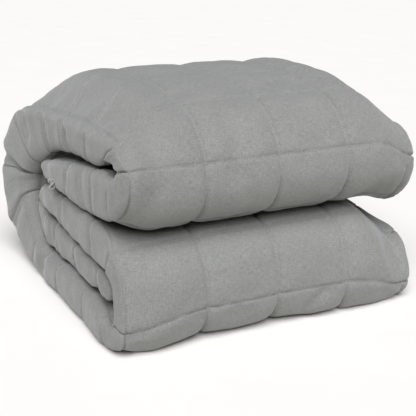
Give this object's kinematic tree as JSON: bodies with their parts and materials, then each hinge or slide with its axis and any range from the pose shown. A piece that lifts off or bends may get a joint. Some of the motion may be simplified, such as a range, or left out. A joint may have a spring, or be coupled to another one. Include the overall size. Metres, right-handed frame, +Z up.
{
  "type": "weighted blanket",
  "caption": "Weighted blanket, quilted in squares and filled, folded into a thick bundle with soft front rolls, a round spine and a small tie loop at one end.",
  "frame": {"origin": "centre of the footprint, on the plane the bundle rests on", "axes": "+Z up; -Y towards the open front with the rolls, +Y towards the round spine; -X towards the end with the inner hem and its tie loop"},
  "size_m": [0.4514, 0.4851, 0.3069],
  "materials": {
    "blanket_cloth": "matte heathered woven cotton",
    "tie_tape": "matte woven tape"
  },
  "bodies": {
    "root": {"blanket": "blanket_cloth", "tie_loop": "tie_tape"}
  },
  "joints": []
}
